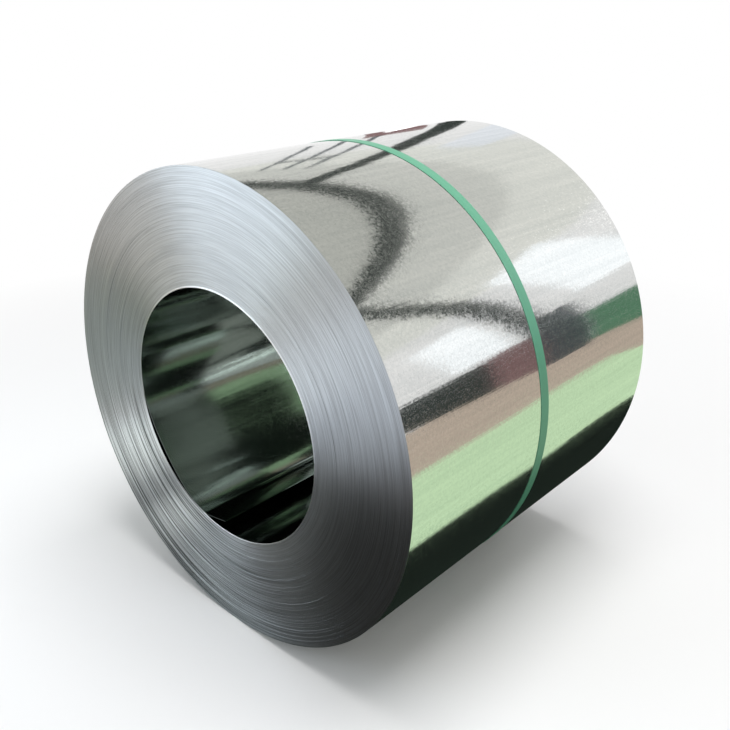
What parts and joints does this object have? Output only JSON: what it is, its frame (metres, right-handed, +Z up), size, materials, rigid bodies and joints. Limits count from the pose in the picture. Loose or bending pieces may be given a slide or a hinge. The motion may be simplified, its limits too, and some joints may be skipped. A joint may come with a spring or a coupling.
{
  "type": "steel coil",
  "caption": "Roll of galvanised steel strip lying on its side, with a mandrel bore through it, wound turns showing on its flat ends and a flat strap round its girth.",
  "frame": {"origin": "middle of the bore, half way along the strip's width", "axes": "+Y along the bore, away from the end that the picture shows; +Z up as the coil lies; +X to the right of that end"},
  "size_m": [0.9419, 0.7824, 0.9419],
  "materials": {
    "galvanised_strip": "hot-dip galvanised, bright with fine spangle on the wrap, finely lined on the cut strip edges",
    "green_strap": "smooth satin polyester strapping"
  },
  "bodies": {
    "root": {"coil": "galvanised_strip", "strap": "green_strap"}
  },
  "joints": []
}
